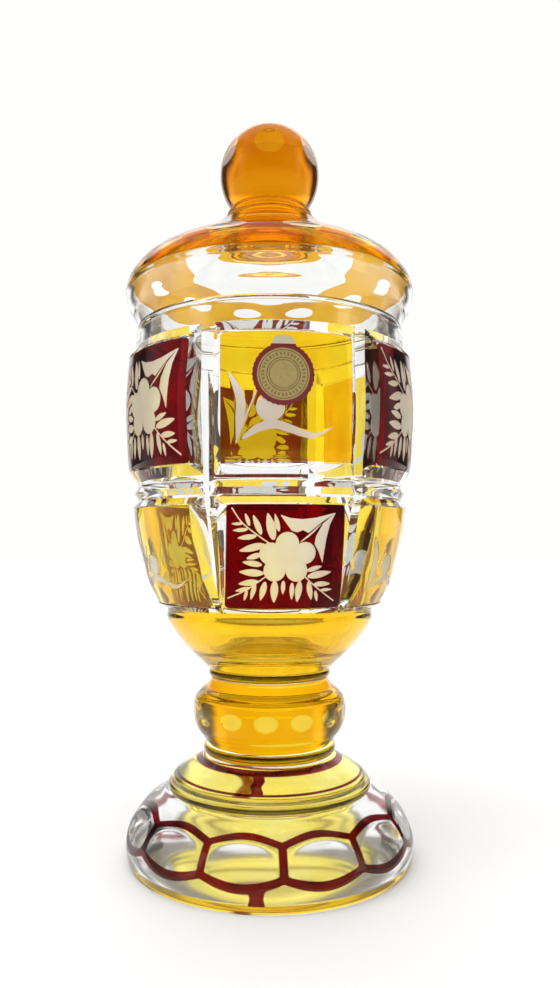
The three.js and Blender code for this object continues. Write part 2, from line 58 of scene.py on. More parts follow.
# %% [markdown]
# ## The camera
# The photograph was taken close up, at about knop height. Everything above the eye is therefore seen
# slightly from below, and the foot from above. A level camera keeps the sides upright. A small shift
# then puts the horizon a little under the middle of the picture, as a photographer does by cropping.

# %% Camera
PICTURE_HEIGHT = 988
FOCAL_LENGTH = 785            # in pixels of that picture
EYE_DISTANCE = 326.2
EYE_HEIGHT = 127.6
SENSOR = 36

camera = add_object("camera", bpy.data.cameras.new("camera"))
scene.camera = camera
camera.data.sensor_width = SENSOR
camera.data.lens = SENSOR * FOCAL_LENGTH / PICTURE_HEIGHT
camera.data.shift_x = 10.5 / PICTURE_HEIGHT
camera.data.shift_y = 49 / PICTURE_HEIGHT
camera.data.clip_start = 0.01
camera.location = (0, -EYE_DISTANCE / 1000, EYE_HEIGHT / 1000)
camera.rotation_euler = (np.pi / 2, 0, 0)
print("lens", round(camera.data.lens, 2), "mm")

# %% [markdown]
# ## Shader sums in plain Python
# A material is a small computer program. `Wire` holds one output of a node and knows how to add,
# multiply and compare, so a mask can be written as a sum. `Recipe.node` adds any other node: its
# settings go in first, because some settings change which sockets the node has.

# %% Shader helpers
class Wire:
    """One output of a shader node that can be used in Python sums."""

    def __init__(self, recipe, socket):
        self.recipe, self.socket = recipe, socket

    def math(self, operation, *values):
        """A Math node with the values in its sockets, in order."""
        return self.recipe.node("ShaderNodeMath", {"operation": operation}, dict(enumerate(values)))

    def __add__(self, other):
        return self.math("ADD", self, other)

    def __sub__(self, other):
        return self.math("SUBTRACT", self, other)

    def __rsub__(self, other):
        return self.math("SUBTRACT", other, self)

    def __mul__(self, other):
        return self.math("MULTIPLY", self, other)

    __radd__ = __add__
    __rmul__ = __mul__

    def near(self, value, width):
        """1 at the value, 0 when it is width or more away from it."""
        gap = self - value
        return 1 - gap.math("ABSOLUTE", gap).smooth(width * 0.5, width)

    def smooth(self, low, high):
        """0 where the value is under low, 1 over high, and a smooth step between them."""
        return self.recipe.node("ShaderNodeMapRange", {"interpolation_type": "SMOOTHSTEP"},
                                {"Value": self, "From Min": low, "From Max": high})


class Recipe:
    """A node tree that is being written."""

    def __init__(self, tree):
        self.tree = tree
        tree.nodes.clear()

    def node(self, kind, settings=None, inputs=None, output=0):
        """Any node: settings first, then inputs (numbers, colours or wires). Gives one of its outputs."""
        made = self.tree.nodes.new(kind)
        for name, value in (settings or {}).items():
            setattr(made, name, value)
        for name, value in (inputs or {}).items():
            if isinstance(value, Wire):
                self.tree.links.new(value.socket, made.inputs[name])
            else:
                made.inputs[name].default_value = value
        return Wire(self, made.outputs[output] if made.outputs else None)

    def noise(self, scale, detail=2):
        """Soft clouds that stay on the piece, scale of them to a metre."""
        where = self.node("ShaderNodeTexCoord", output="Object")
        return self.node("ShaderNodeTexNoise", {}, {"Vector": where, "Scale": scale, "Detail": detail})

    def attribute(self, name):
        """A mark: a number that the points of the mesh carry."""
        return self.node("ShaderNodeAttribute", {"attribute_name": name}, output="Fac")

    def stain_depth(self, edged):
        """Mark stain, kept inside the outline that mark edge gives where the glass is edged."""
        depth = self.attribute("stain")
        return depth * self.attribute("edge").smooth(0.15, -0.15) if edged else depth

    def mix(self, factor, first, second):
        """A colour between two colours."""
        return self.node("ShaderNodeMix", {"data_type": "RGBA"},
                         {"Factor": factor, 6: first, 7: second}, output=2)

    def principled(self, **inputs):
        """A Principled shader. Its sockets are named with underscores in place of spaces."""
        named = {name.replace("_", " "): value for name, value in inputs.items()}
        return self.node("ShaderNodeBsdfPrincipled", {}, named)


def new_material(name):
    """A material with an empty node tree, and the recipe that fills it."""
    material = bpy.data.materials.new(name)
    material.use_nodes = True
    return material, Recipe(material.node_tree)


# %% [markdown]
# ## Light
# The vase stands in a very bright, white place. Clear glass has no colour of its own: it shows what is
# round it, so its edges are only visible because some directions are darker than others. The world
# is white behind the vase. Dark flags stand on both sides of that backdrop, as a photographer of glass
# sets them up, the ceiling is dimmer, and the camera's side is half dark. A bright board hangs over the
# backdrop, and one soft panel on each side gives the long highlights. Looked at directly, the room is
# plain white all round.

# %% World, floor and lamps
FLOOR_RADIUS = 5.0            # in metres, like the next
FLOOR_LEVEL = -0.00005


def paint_world():
    """How bright the room is in each direction, from the three numbers of a direction that is 1 long:
    across, depth (away from the camera) and height. Every name after them is a smooth step in one or two
    of them, and the strength is base * (1 - flags) * (1 - 0.4 * above) + boards."""
    world = bpy.data.worlds.new("studio")
    scene.world = world
    world.use_nodes = True
    w = Recipe(world.node_tree)
    direction = w.node("ShaderNodeTexCoord", output="Generated")
    split = w.node("ShaderNodeSeparateXYZ", {}, {0: direction})
    across, depth, height = (Wire(w, socket) for socket in split.socket.node.outputs)
    wide = across.math("ABSOLUTE", across)
    behind = depth.smooth(-0.7, 0.3)
    panels = wide.smooth(0.36, 0.46) * depth.smooth(0.1, 0.4)
    flags = (wide.smooth(0.47, 0.62) * 0.94 - wide.smooth(0.82, 0.94) * 0.5) * depth.smooth(-0.3, 0.1)
    above = height.smooth(0.57, 0.75)
    glow = height.smooth(0.05, 0.5)
    base = 0.44 + behind * 0.53 + glow * 0.05 + panels * 0.3
    boards = height.near(0.72, 0.14) * depth.smooth(0.45, 0.6) * 1.1
    strength = base * (1 - flags) * (1 - above * 0.4) + boards
    seen = w.node("ShaderNodeLightPath", output="Is Camera Ray")
    strength = strength + seen * (1.0 - strength)
    light = w.node("ShaderNodeBackground", {}, {"Color": (1.0, 0.997, 0.99, 1), "Strength": strength})
    w.node("ShaderNodeOutputWorld", {}, {0: light})


def lay_floor():
    """A pale, matt table top, wide enough to reach the horizon, a hair under the foot."""
    turn = np.linspace(0, 2 * np.pi, 65)[:-1]
    points = [(FLOOR_RADIUS * np.cos(a), FLOOR_RADIUS * np.sin(a), FLOOR_LEVEL) for a in turn]
    mesh = bpy.data.meshes.new("floor")
    mesh.from_pydata(points, [], [list(range(len(points)))])
    floor = add_object("floor", mesh)
    material, t = new_material("white_table")
    cloud = t.noise(3.0)
    white = t.mix(cloud, (0.935, 0.935, 0.94, 1), (0.95, 0.95, 0.95, 1))
    body = t.principled(Base_Color=white, Roughness=0.7)
    t.node("ShaderNodeOutputMaterial", {}, {0: body})
    mesh.materials.append(material)


def hang_lamp(name, place, turn, size, watts):
    """A soft rectangular panel at a place in metres, turned by three angles in degrees."""
    lamp = bpy.data.lights.new(name, "AREA")
    lamp.shape = "RECTANGLE"
    lamp.size, lamp.size_y, lamp.energy = size[0], size[1], watts
    holder = add_object(name, lamp)
    holder.location, holder.rotation_euler = place, np.radians(turn)


def hang_sky(strength, width):
    """Very wide soft light from above. It whitens the table as far as the horizon and isn't mirrored."""
    sky = bpy.data.lights.new("sky_light", "SUN")
    sky.energy, sky.angle = strength, np.radians(width)
    holder = add_object("sky_light", sky)
    holder.rotation_euler = np.radians((14, -10, 0))
    holder.visible_glossy = False


paint_world()
lay_floor()
hang_sky(2.0, 70)
hang_lamp("left_panel", (-1.0, -0.5, 0.5), (80, 0, -62), (0.35, 0.9), 1.2)
hang_lamp("right_panel", (1.0, -0.4, 0.45), (80, 0, 66), (0.25, 0.8), 0.8)
scene.view_settings.view_transform = "Standard"
scene.cycles.max_bounces = 28
scene.cycles.transmission_bounces = 28
scene.cycles.glossy_bounces = 12
scene.cycles.blur_glossy = 0.4
scene.cycles.use_denoising = True

# %% [markdown]
# ## From curves to meshes
# Almost every member was shaped while it turned, so its surface is a profile carried round the axis.
# The profile is a few measured points with a smooth curve through them. All the points of a surface are
# worked out at once as arrays, and go into the mesh in one call.

# %% Mesh helpers
def smooth_line(points, steps):
    """Smooth curve through points, with steps points on each stretch: a cubic that leaves each point along
    half the way from the point before it to the point after it. Between p1 and p2 it is half of
    2*p1 + (p2-p0)*t + (2*p0-5*p1+4*p2-p3)*t^2 + (3*p1-p0-3*p2+p3)*t^3."""
    p = np.asarray(points, float)
    p = np.vstack([2 * p[0] - p[1], p, 2 * p[-1] - p[-2]])
    t = (np.arange(steps) / steps)[:, None, None]
    a, b, c, d = p[:-3], p[1:-2], p[2:-1], p[3:]
    line = (2 * b + (c - a) * t + (2 * a - 5 * b + 4 * c - d) * t**2 + (3 * b - a - 3 * c + d) * t**3) / 2
    return np.vstack([line.transpose(1, 0, 2).reshape(-1, 2), p[-2]])


def lifted(points, level):
    """The same points of a profile, level mm higher up."""
    return np.array([(radius, height + level) for radius, height in points])


def chain(*stretches):
    """Stretches of an outline joined end to end. Each starts on the last point of the one before it,
    and that point is kept once."""
    return np.vstack([stretches[0]] + [s[1:] for s in stretches[1:]])


def round_the_axis(radius, height, azimuth):
    """x = radius * sin(azimuth), y = -radius * cos(azimuth), z = height. Azimuth 0 is the front."""
    return np.stack([radius * np.sin(azimuth), -radius * np.cos(azimuth), height], -1)


def grid_faces(rows, columns, wrap_columns=False, wrap_rows=False):
    """Quads of a grid of points, numbered row by row, wound so that they face out."""
    i = np.arange(rows if wrap_rows else rows - 1)[:, None]
    j = np.arange(columns if wrap_columns else columns - 1)[None, :]
    right, up = (j + 1) % columns, (i + 1) % rows
    quads = [i * columns + j, i * columns + right, up * columns + right, up * columns + j]
    return np.stack(np.broadcast_arrays(*quads), -1).reshape(-1, 4)


def make_piece(name, points, quads, marks, triangles=(), crease=24):
    """A mesh object from arrays. marks are numbers that each point carries for its material.
    Edges that bend more than crease degrees are drawn sharp."""
    mesh = bpy.data.meshes.new(name)
    quads = np.asarray(quads, np.int32).reshape(-1, 4)
    triangles = np.asarray(triangles, np.int32).reshape(-1, 3)
    corners = np.concatenate([quads.ravel(), triangles.ravel()])
    starts = np.concatenate([np.arange(len(quads)) * 4, quads.size + np.arange(len(triangles)) * 3])
    mesh.vertices.add(len(points))
    mesh.vertices.foreach_set("co", (np.asarray(points, np.float32) / 1000).ravel())
    mesh.loops.add(len(corners))
    mesh.loops.foreach_set("vertex_index", corners)
    mesh.polygons.add(len(starts))
    mesh.polygons.foreach_set("loop_start", starts.astype(np.int32))
    mesh.update(calc_edges=True)
    for key, values in marks.items():
        mark = mesh.attributes.new(key, "FLOAT", "POINT")
        mark.data.foreach_set("value", np.ravel(values).astype(np.float32))
    mesh.shade_smooth()
    mesh.set_sharp_from_angle(angle=np.radians(crease))
    piece = add_object(name, mesh)
    print(f"{name}: {len(quads) * 2 + len(triangles)} triangles")
    return piece


def closed_piece(name, body, marks, crease=24):
    """A closed surface from a grid of points whose columns go round it. The first and last rows become one
    point each."""
    rows, columns = body.shape[:2]
    points = np.vstack([body[0, :1], body[1:-1].reshape(-1, 3), body[-1, :1]])
    inner = rows - 2
    quads = grid_faces(inner, columns, wrap_columns=True) + 1
    j = np.arange(columns)
    k = (j + 1) % columns
    last = 1 + inner * columns
    low = np.stack([np.zeros_like(j), 1 + k, 1 + j], -1)
    high = np.stack([np.full_like(j, last), last - columns + j, last - columns + k], -1)
    kept = {key: np.concatenate([v[0, :1], v[1:-1].ravel(), v[-1, :1]]) for key, v in marks.items()}
    return make_piece(name, points, quads, kept, np.vstack([low, high]), crease)


def turned_piece(name, radius, height, azimuth, marks):
    """A closed surface round the axis. Its first and last rows lie on the axis."""
    return closed_piece(name, round_the_axis(radius, height, azimuth), marks)


def spin(outline, columns):
    """Radius, height and azimuth grids of an outline carried round the axis."""
    azimuth = np.arange(columns) / columns * 2 * np.pi
    radius = np.repeat(outline[:, :1], columns, 1)
    height = np.repeat(outline[:, 1:], columns, 1)
    return radius, height, np.broadcast_to(azimuth, height.shape)


def cut_flats(radius, height, azimuth, centre, depth, tilt, turns):
    """Grinds flats: a plane that faces out at tilt lies depth under the point centre = (radius, height).
    Where the surface is outside the plane r * cos(turn) * cos(tilt) + z * sin(tilt) = reach, the radius
    shrinks until it is on it. Also gives how far each point was ground down."""
    edge_on = 0.05                # a plane that faces a point less than this can't reach it
    tilt = np.radians(tilt)
    reach = centre[0] * np.cos(tilt) + centre[1] * np.sin(tilt) - depth
    ground = radius.copy()
    for turn in np.radians(turns):
        facing = np.cos(azimuth - turn) * np.cos(tilt)
        plane = (reach - height * np.sin(tilt)) / np.maximum(facing, edge_on)
        near = (facing > edge_on) & (plane > 0)
        ground = np.where(near, np.minimum(ground, plane), ground)
    return ground, radius - ground


# %% [markdown]
# ## Glass
# Stained glass is clear glass with a colour fired into its skin, a few hundredths of a millimetre deep.
# So the colour belongs to the surface and not to the volume: each time light goes through a stained
# surface it is filtered once. The Principled shader's Base Color does just that on a transmissive
# surface. A mark on the points says where a surface is stained. It is 0 where two members touch,
# because the glass is one piece there, and 0 where a flat has ground the stain away.

# %% Glass finishes
# Each stain is what one surface of it lets through: where it is light, and where it is deep.
AMBER = ((0.70, 0.22, 0.0006, 1), (0.56, 0.145, 0.0003, 1))
BELT = ((0.74, 0.21, 0.0001, 1), (0.48, 0.10, 0.00005, 1))
GOLD = ((0.94, 0.50, 0.004, 1), (0.88, 0.38, 0.002, 1))
CUP = ((0.98, 0.62, 0.015, 1), (0.94, 0.52, 0.008, 1))
YELLOW = ((0.99, 0.68, 0.02, 1), (0.96, 0.57, 0.01, 1))
PALE = ((0.98, 0.78, 0.10, 1), (0.95, 0.66, 0.05, 1))
STRAW = ((0.97, 0.77, 0.045, 1), (0.95, 0.67, 0.02, 1))
WEB = ((0.05, 0.00008, 0.0002, 1), (0.02, 0.00003, 0.0001, 1))
RUBY = ((0.20, 0.0006, 0.001, 1), (0.08, 0.0002, 0.0005, 1))
CLEAR = (0.985, 0.992, 0.985, 1)
# Ground glass near a cut's outline, darker there as painted shade.
SHADED_FROST = (0.90, 0.72, 0.52, 1)
WARM = (0.6, 0.5, 0.34, 1)    # mirror images in bare glass
GLASS_IOR = 1.5


def stained(recipe, colour, light, edged):
    """The colour at the depth that mark stain gives. Half the depth gives the root of the light colour."""
    depth = recipe.stain_depth(edged) * 2
    half = tuple(np.sqrt(light[:3])) + (1,)
    return recipe.mix(depth, CLEAR, recipe.mix(depth - 1, half, colour))


def glass(name, stain, second=None, shine=WARM, edged=False):
    """Polished glass. Mark stain is the depth of the stain: 0 is clear and 1 is the colour, which drifts
    between light and deep in soft clouds. Mark web, where there is one, lays the second stain over it.
    Mark edge is a distance in mm to the stain's outline, negative inside, which keeps it crisp between the
    points. Mark matt is 1 where the glass was ground, and blurs it. shine is the colour of mirror images
    in stained glass. Bare glass keeps its own, and the two are mixed by the depth of the stain."""
    material, g = new_material(name)
    cloud = g.noise(38.0).smooth(0.35, 0.65)
    tint = stained(g, g.mix(cloud, *stain), stain[0], edged)
    if second:
        web = g.attribute("web").smooth(0.12, -0.12)
        tint = g.mix(web, tint, g.mix(cloud, *second))
    wear = g.noise(420.0, 4).smooth(0.45, 0.8) * 0.02 + g.attribute("matt") * 0.09
    ripple = g.node("ShaderNodeBump", {}, {"Strength": 0.05, "Distance": 0.0003, "Height": g.noise(55.0)})
    common = {"Roughness": wear, "Normal": ripple, "IOR": GLASS_IOR, "Transmission_Weight": 1.0}
    body = g.principled(Base_Color=tint, Specular_Tint=shine, **common)
    if shine != WARM:
        bare = g.principled(Base_Color=CLEAR, Specular_Tint=WARM, **common)
        coloured = g.stain_depth(edged).smooth(0.0, 0.5)
        body = g.node("ShaderNodeMixShader", {}, {0: coloured, 1: bare, 2: body})
    g.node("ShaderNodeOutputMaterial", {}, {0: body})
    return material


amber = glass("amber_stained_glass", AMBER, shine=(0.7, 0.28, 0.03, 1))
gold = glass("golden_stained_glass", GOLD, shine=(0.7, 0.42, 0.05, 1))
bowl_glass = glass("clear_glass_with_golden_cup", CUP, shine=(0.6, 0.4, 0.1, 1))
lid_glass = glass("clear_glass_with_amber_belt", BELT, shine=(0.7, 0.33, 0.04, 1), edged=True)
clear = glass("clear_glass", (CLEAR, CLEAR))
webbed = glass("clear_glass_with_ruby_web", GOLD, WEB)


def finish_piece(piece, material, slot, body, *nodes):
    """Material, slot, body and the CAD nodes that the piece stands for. The slot is not used."""
    piece.data.materials.append(material)
    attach(piece, body)
    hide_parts(*nodes)


def levels(node):
    """Lowest and highest level of a CAD node, in mm."""
    low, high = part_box(node)
    return low.z * 1000, high.z * 1000


LAP = 0.2                     # how far neighbouring members reach into the gap between them


def showing(height, low, high):
    """1 where a member shows, 0 where it laps into its neighbours."""
    return ((height > low - LAP / 2) & (height < high + LAP / 2)) * 1.0


def capped(side, low, high, foot, head):
    """A member's side closed towards the axis. Its two ends have the radius foot and head, and lap into
    the neighbours."""
    return chain([(0.0, low - LAP), (foot, low - LAP), side[0]], side,
                 [side[-1], (head, high + LAP), (0.0, high + LAP)])


# %% [markdown]
# ## The foot
# A heavy disc with a rounded edge. Twelve oval windows are ground into its shoulder as flats, and the
# ruby stain stays between them as a web: an arch over each window, a scallop under it, a short bar
# between neighbours and, under one window in four, a drip towards the rim. The web is a distance, in mm,
# to the edge of those lines. The lowest few millimetres of the side are stained golden, and the underside
# is finely ground, so what shows through it is blurred.

# %% Foot disc
WINDOWS = 12
WINDOW_TURN = 20
DRIP_TURN = -4.4
LINE_HALF = 1.7
GILDED = 3.4                  # height of the golden edge
_, foot_high = levels("foot_disc")
WINDOW_POINT = (55.3, 17.0)   # radius and height over the middle of each window
WINDOW_DEPTH, WINDOW_TILT = 1.3, 30
foot_side = smooth_line([(57.5, 0.0), (58.4, 3.3), (58.75, 6.5), (58.4, 9.8), (57.3, 13.4), WINDOW_POINT,
                         (51.9, 21.1), (47.4, 24.5), (42.4, 27.0)], 7)
foot_under = smooth_line([(0.0, 1.3), (28.2, 1.2), (45.5, 0.5)], 7)
foot_ring = [(45.5, 0.5), (47.0, 0.0), (52.0, 0.0), (57.5, 0.0)]
foot_head = [foot_side[-1], (41.0, foot_high + LAP), (20.0, foot_high + LAP), (0.0, foot_high + LAP)]
foot_outline = chain(foot_under, foot_ring, foot_side, foot_head)


def foot_web(radius, height, azimuth):
    """Distance in mm to the edge of the nearest ruby line, negative inside it. Over one window, with a
    running from -1 to 1, the arch is at 21.4 + 2.3 * cos(a * 90 deg) and the scallop at
    12.2 - 3.2 * cos(a * 90 deg). steep turns a distance up into one square to the sloping surface."""
    pitch = 2 * np.pi / WINDOWS
    a = (azimuth - np.radians(WINDOW_TURN) + pitch / 2) % pitch / pitch * 2 - 1
    bulge = np.cos(a * np.pi / 2)
    steep = np.interp(height, [8, 14, 20, 25], [1.05, 1.25, 1.6, 2.1])
    arch = np.abs(height - (21.4 + 2.3 * bulge)) * steep - LINE_HALF
    scallop = np.abs(height - (12.2 - 3.2 * bulge)) * steep - LINE_HALF
    bar = (1 - np.abs(a)) * pitch / 2 * radius - LINE_HALF + 0.15
    between = np.maximum(height - 22, 12 - height)
    away = (azimuth - np.radians(DRIP_TURN) + np.pi / 3) % (2 * np.pi / 3) - np.pi / 3
    drip = np.maximum(np.abs(away) * radius - 2.4 - 0.25 * np.abs(height - 6), np.abs(height - 6.2) - 3.1)
    return np.minimum(np.minimum(arch, scallop), np.minimum(np.maximum(bar, between), drip))


radius, height, azimuth = spin(foot_outline, 432)
web = foot_web(radius, height, azimuth)
web[height < 3.2] = 9
window_turns = WINDOW_TURN + np.arange(WINDOWS) * 360 / WINDOWS
radius, _ = cut_flats(radius, height, azimuth, WINDOW_POINT, WINDOW_DEPTH, WINDOW_TILT, window_turns)
gilded = (radius > 56.8) & (height < GILDED) & (height > 0)
matt = (radius < 57.7) & (height < 2)
marks = {"stain": gilded * 1.0, "web": web, "matt": matt * 1.0}
foot = turned_piece("foot_glass", radius, height, azimuth, marks)
finish_piece(foot, webbed, "clear_glass", "vase", "foot_disc")

# %% [markdown]
# ## Step, buttons and knop
# Between the foot and the bowl the glass is amber all round: a ledge with a low dome, a thin button
# of glass, a squat ball with a belt of fourteen flats, and a second button. The flats show lighter,
# because they have ground most of the stain away.

# %% Step, buttons and knop
step_low, step_high = levels("foot_step")
ledge = lifted([(40.2, -LAP), (41.4, 0.9), (41.6, 2.2), (40.8, 3.4), (39.6, 3.9)], step_low)
low_dome = lifted([(39.5, 4.5), (39.3, 5.6), (37.4, 7.1), (34.1, 9.3), (30.3, 11.5), (27.0, 13.8)], step_low)
step_head = [low_dome[-1], (26.0, step_high + LAP), (0.0, step_high + LAP)]
step_outline = chain([(0.0, step_low - LAP), ledge[0]], smooth_line(ledge, 5), [ledge[-1], low_dome[0]],
                     smooth_line(low_dome, 6), step_head)
RIBBON_TURN = -7.8


def step_marks(radius, height, azimuth):
    """Ruby round the top of the dome, a thin ring lower down and a wavy ribbon between them."""
    top = np.abs(height - (step_high - 1.6)) - 0.9
    thin = np.abs(height - (step_low + 6.9)) - 0.35
    wave = 0.5 * np.sin(height * 2.1)
    away = (azimuth - np.radians(RIBBON_TURN) + np.pi) % (2 * np.pi) - np.pi
    ribbon = np.maximum(np.abs(away * radius + wave) - 2.2, np.abs(height - (step_low + 10)) - 3.4)
    return np.minimum(np.minimum(top, thin), ribbon)


radius, height, azimuth = spin(step_outline, 360)
outer = (radius > 26.5) & (height > step_low) & (height < step_high)
marks = {"stain": outer * 1.0, "web": np.where(outer, step_marks(radius, height, azimuth), 9)}
step = turned_piece("step_glass", radius, height, azimuth, marks)
step_glass = glass("yellow_glass_with_ruby_rings", STRAW, WEB)
finish_piece(step, step_glass, "amber_glass", "vase", "foot_step")


def button(node, name, widest):
    """A merese: a thin disc with a rounded edge, lapped into its neighbours."""
    low, high = levels(node)
    middle, half = (low + high) / 2, (high - low) / 2
    edge = np.radians(np.linspace(-80, 80, 15))
    bulge = 1.3
    rim = np.stack([widest - bulge + bulge * np.cos(edge),
                    middle + half * np.sin(edge) / np.sin(edge[-1])], 1)
    radius, height, azimuth = spin(capped(rim, low, high, rim[0, 0] - 1.0, rim[-1, 0] - 1.0), 240)
    piece = turned_piece(name, radius, height, azimuth, {"stain": showing(height, low, high)})
    finish_piece(piece, gold, "amber_glass", "vase", node)


button("lower_merese", "lower_button", 27.2)
button("upper_merese", "upper_button", 25.0)

KNOP_FLATS, KNOP_TURN, KNOP_DEPTH = 14, -2.5, 0.34
knop_low, knop_high = levels("knop")
knop_side = smooth_line([(25.3, knop_low), (26.9, 48.0), (28.1, 49.9), (29.4, 51.6), (30.7, 54.4),
                         (31.35, 57.4), (31.45, 60.2), (31.2, 62.0), (30.5, 64.8), (29.4, 66.2),
                         (28.1, 67.6), (25.9, 69.4), (24.4, 71.6), (24.1, knop_high)], 5)
radius, height, azimuth = spin(capped(knop_side, knop_low, knop_high, 24.8, 23.6), 420)
knop_turns = KNOP_TURN + np.arange(KNOP_FLATS) * 360 / KNOP_FLATS
radius, ground = cut_flats(radius, height, azimuth, (31.45, 60.9), KNOP_DEPTH, 0, knop_turns)
stain = showing(height, knop_low, knop_high) * (1 - 0.75 * np.clip(ground / 0.03, 0, 1))
knop = turned_piece("knop_ball", radius, height, azimuth, {"stain": stain})
finish_piece(knop, gold, "amber_glass", "vase", "knop")

# %% [markdown]
# ## The bowl
# The wall of the bowl was ground away round twelve raised fields. What is left between them is an upright
# channel with sloping sides, and a double groove with a small ridge runs round the middle. On the grid,
# the height of the wall over the channels' floor is the smaller of two slopes, one measured sideways
# and one measured up and down, so the mitres at the corners come by themselves. The grid's columns
# follow the edges of the fields.

# %% Bowl wall
COLUMNS = 6
FRONT_TURN = 6.5              # azimuth of the front column
SKIN = 0.35                   # thickness of a coloured skin
SKIN_LAP = 0.05               # how far it reaches into the field behind it
RISE = 3.6                    # of the fields above the channels' floor
SIDE_BEVEL = 3.9
FLOOR_HALF = 2.45
RIDGE_LEVEL = 147.2           # of the small ridge between the two rows
bowl_low, bowl_high = levels("bowl")
lower_low, lower_high = levels("lower_panel_1")
upper_low, upper_high = levels("upper_panel_1")
LOWER_FACE = [(45.6, lower_low), (47.2, 107.0), (48.8, 110.3), (50.4, 114.6), (51.6, 120.0), (52.8, 124.5),
              (54.1, 129.6), (54.95, 135.0), (55.6, lower_high)]
UPPER_FACE = [(57.1, upper_low), (57.7, 158.7), (58.2, 166.0), (58.6, 174.0), (58.75, 181.5), (58.5, 188.0),
              (58.0, 194.0), (57.4, upper_high)]
LOWER_HALF, UPPER_HALF = 21.0, 23.2


def face_radius(height, face):
    """Radius of a row of fields at each height."""
    line = smooth_line(face, 8)
    return np.interp(height, line[:, 1], line[:, 0])


cup = smooth_line([(24.5, bowl_low), (25.7, 77.3), (27.3, 78.9), (29.2, 80.8), (31.0, 82.5), (34.0, 85.6),
                   (36.8, 88.9), (39.2, 92.2), (41.3, 95.6), (42.2, 98.2), (41.9, 100.1), (42.3, 101.7)], 3)
floor_line = smooth_line([(42.3, 101.7), (43.2, 103.8), (46.8, 112.5), (49.2, 124.0), (51.6, 137.0),
                          (53.6, 144.2), (53.75, 150.6), (53.9, 156.5), (55.0, 170.0), (55.1, 183.0),
                          (54.6, 195.0), (54.7, 205.0)], 12)
rim = smooth_line([(54.7, 205.0), (54.6, 208.5), (54.3, 212.0), (53.9, bowl_high - 0.7),
                   (53.0, bowl_high)], 4)
brim = [(53.0, bowl_high), (52.2, bowl_high), (51.3, bowl_high), (50.4, bowl_high)]
inside = smooth_line([(50.4, bowl_high), (49.5, bowl_high - 0.8), (49.7, 212.0), (50.1, 208.0), (50.3, 203.0),
                      (50.3, 192.0), (50.1, 178.0), (49.3, 160.0), (48.6, 148.0), (46.8, 135.0),
                      (43.8, 120.0), (40.4, 108.5), (37.4, 100.6), (35.4, 96.2), (32.6, 92.4), (29.6, 88.8),
                      (27.0, 86.4), (23.6, 85.1), (17.0, 84.98), (0.0, 84.98)], 5)
# How far the wall stands over the channels' floor, level by level, away from the upright channels.
CROWN = np.array([(101.7, 0.0), (lower_low, RISE - 0.4), (lower_high, RISE), (143.9, 0.0), (144.9, 0.0),
                  (RIDGE_LEVEL, 1.35), (149.4, 0.0), (151.6, 0.0), (upper_low, RISE),
                  (upper_high, RISE - 0.2), (205.0, 0.0)])
STRETCHES = [(101.7, lower_low, 7), (lower_low, lower_high, 19), (lower_high, 143.9, 7), (143.9, 151.6, 17),
             (151.6, upper_low, 7), (upper_low, upper_high, 21), (upper_high, 205, 7)]
LEVELS = np.unique(np.concatenate([np.linspace(*stretch) for stretch in STRETCHES]).round(4))


def half_angles(height):
    """Azimuth from a column's middle to its fields' edge and to the channel's floor, level by level."""
    lower = np.arcsin(LOWER_HALF / face_radius(height, LOWER_FACE))
    upper = np.arcsin(UPPER_HALF / face_radius(height, UPPER_FACE))
    edge = np.where(height < RIDGE_LEVEL, lower, upper)
    blend = np.clip((height - lower_high) / (upper_low - lower_high), 0, 1)
    lower_end, upper_end = lower[height <= lower_high][-1], upper[height >= upper_low][0]
    edge = np.where((height > lower_high) & (height < upper_low),
                    lower_end * (1 - blend) + upper_end * blend, edge)
    floor_half = np.interp(height, [103, 118, 200], [0.25, 1.9, FLOOR_HALF]) / 54
    return edge, np.maximum(np.pi / COLUMNS - floor_half, edge + 0.01)


def bowl_wall():
    """Radius, height and azimuth grids of the wall with its fields, channels and ridge."""
    edge, foot_of_slope = half_angles(LEVELS)
    step = np.linspace(0, 1, 7)
    half = np.concatenate([
        edge[:, None] * np.linspace(0, 1, 15)[:-1],
        edge[:, None] + (foot_of_slope - edge)[:, None] * step[:-1],
        foot_of_slope[:, None] + (np.pi / COLUMNS - foot_of_slope)[:, None] * np.linspace(0, 1, 3)], 1)
    side = np.concatenate([np.ones(14), 1 - step[:-1], np.zeros(3)])
    sector = np.concatenate([-half[:, :0:-1], half[:, :-1]], 1)
    slope = np.concatenate([side[:0:-1], side[:-1]])
    azimuth = np.concatenate([sector + i * np.pi / 3 for i in range(COLUMNS)], 1) + np.radians(FRONT_TURN)
    crown = np.interp(LEVELS, CROWN[:, 0], CROWN[:, 1])[:, None]
    rise = np.minimum(crown, np.tile(slope, COLUMNS) * RISE)
    base = np.interp(LEVELS, floor_line[:, 1], floor_line[:, 0])[:, None]
    face = np.where(LEVELS < RIDGE_LEVEL, face_radius(LEVELS, LOWER_FACE), face_radius(LEVELS, UPPER_FACE))
    on_field = ((LEVELS >= lower_low - 0.01) & (LEVELS <= lower_high + 0.01)
                | (LEVELS >= upper_low - 0.01) & (LEVELS <= upper_high + 0.01))[:, None]
    full = np.where(on_field, face[:, None] - SKIN + SKIN_LAP - base, crown)
    share = rise / np.maximum(crown, 1e-6)
    return base + np.where(crown > 0, full * share, 0), azimuth


